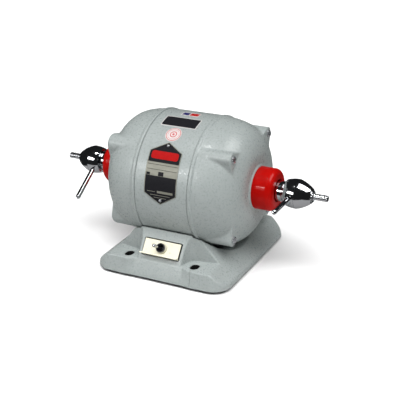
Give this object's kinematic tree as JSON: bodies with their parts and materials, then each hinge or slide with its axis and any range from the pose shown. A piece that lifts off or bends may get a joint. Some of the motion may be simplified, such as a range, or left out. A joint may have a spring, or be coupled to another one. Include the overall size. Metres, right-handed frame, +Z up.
{
  "type": "dental polishing lathe",
  "caption": "Bench polishing lathe: round enclosed motor in a cast cradle base with a toggle switch in front, and a quick-release chuck with a hand lever at each end of the spindle.",
  "frame": {"origin": "on the bench, under the middle of the base", "axes": "+X along the spindle towards the chuck that is on the right when the switch faces the user, -Y towards the user, +Z up"},
  "size_m": [0.3712, 0.2014, 0.1916],
  "materials": {
    "enamel": "semi-gloss grey-green enamel over a fine casting texture",
    "red_enamel": "glossy red enamel",
    "chrome": "polished chrome plate",
    "bright_steel": "ground steel",
    "zinc_steel": "zinc-plated steel",
    "lamination": "stacked electrical steel",
    "copper": "enamelled copper wire",
    "brass": "pressed brass",
    "cast_alloy": "cast aluminium",
    "felt": "pressed felt",
    "rubber": "black rubber",
    "black_plastic": "moulded phenolic",
    "nickel_plate": "satin nickel plate",
    "nameplate_sheet": "etched and painted sheet"
  },
  "bodies": {
    "housing": {"base_casting": "enamel", "bottom_cover": "zinc_steel", "cover_screws": "zinc_steel", "rubber_feet": "rubber", "foot_screws": "zinc_steel", "cradle_bolts": "zinc_steel", "switch_plate": "nickel_plate", "switch_body": "black_plastic", "switch_nut": "chrome", "cord_gland": "rubber", "run_capacitor": "cast_alloy", "capacitor_clip": "zinc_steel", "motor_shell": "enamel", "stator_core": "lamination", "stator_winding": "copper", "end_bell_left": "enamel", "end_bell_right": "enamel", "tie_bolts": "zinc_steel", "bearing_cap_left": "red_enamel", "bearing_cap_right": "red_enamel", "shaft_seal_left": "felt", "shaft_seal_right": "felt", "preload_washer": "bright_steel", "bearing_outer_left": "bright_steel", "bearing_outer_right": "bright_steel", "nameplate": "nameplate_sheet", "nameplate_rivets": "cast_alloy"},
    "spindle": {"spindle_shaft": "bright_steel", "rotor_core": "lamination", "rotor_fan_left": "cast_alloy", "rotor_fan_right": "cast_alloy", "bearing_inner_left": "bright_steel", "bearing_inner_right": "bright_steel", "retaining_rings": "bright_steel", "chuck_body_left": "chrome", "chuck_body_right": "chrome", "chuck_collet_left": "bright_steel", "chuck_collet_right": "bright_steel", "arbor_left": "bright_steel", "arbor_right": "bright_steel"},
    "toggle": {"switch_lever": "chrome"},
    "left_cage": {"bearing_cage_left": "brass", "bearing_balls_left": "bright_steel"},
    "left_release": {"release_bush_left": "bright_steel"},
    "left_lever": {"lever_ring_left": "chrome", "lever_rod_left": "chrome"},
    "left_nose": {"chuck_nose_left": "chrome"},
    "right_cage": {"bearing_cage_right": "brass", "bearing_balls_right": "bright_steel"},
    "right_release": {"release_bush_right": "bright_steel"},
    "right_lever": {"lever_ring_right": "chrome", "lever_rod_right": "chrome"},
    "right_nose": {"chuck_nose_right": "chrome"}
  },
  "joints": [
    {"name": "spindle_spin", "type": "hinge", "parent": "housing", "child": "spindle", "pos_m": [0, 0, 0.108], "axis": [1, 0, 0], "continuous": true},
    {"name": "toggle_tilt", "type": "hinge", "parent": "housing", "child": "toggle", "pos_m": [0, -0.0825, 0.0402], "axis": [0, 0.5949, 0.8038], "range_deg": [0, 36]},
    {"name": "left_cage_spin", "type": "hinge", "parent": "housing", "child": "left_cage", "pos_m": [-0.083, 0, 0.108], "axis": [1, 0, 0], "continuous": true},
    {"name": "left_release_slide", "type": "slide", "parent": "housing", "child": "left_release", "axis": [1, 0, 0], "range_m": [0, 0.0025], "stiffness_N_per_m": 3000, "springref_m": -0.003},
    {"name": "left_lever_turn", "type": "hinge", "parent": "left_release", "child": "left_lever", "pos_m": [-0.1416, 0, 0.108], "axis": [1, 0, 0], "continuous": true},
    {"name": "left_nose_slide", "type": "slide", "parent": "spindle", "child": "left_nose", "axis": [1, 0, 0], "range_m": [0, 0.0025]},
    {"name": "right_cage_spin", "type": "hinge", "parent": "housing", "child": "right_cage", "pos_m": [0.083, 0, 0.108], "axis": [1, 0, 0], "continuous": true},
    {"name": "right_release_slide", "type": "slide", "parent": "housing", "child": "right_release", "axis": [-1, 0, 0], "range_m": [0, 0.0025], "stiffness_N_per_m": 3000, "springref_m": -0.003},
    {"name": "right_lever_turn", "type": "hinge", "parent": "right_release", "child": "right_lever", "pos_m": [0.1416, 0, 0.108], "axis": [1, 0, 0], "continuous": true},
    {"name": "right_nose_slide", "type": "slide", "parent": "spindle", "child": "right_nose", "axis": [-1, 0, 0], "range_m": [0, 0.0025]}
  ],
  "couplings": [
    {"joint": "left_cage_spin", "follows": "spindle_spin", "ratio": 0.382},
    {"joint": "left_nose_slide", "follows": "left_release_slide", "ratio": 1},
    {"joint": "right_cage_spin", "follows": "spindle_spin", "ratio": 0.382},
    {"joint": "right_nose_slide", "follows": "right_release_slide", "ratio": 1}
  ]
}
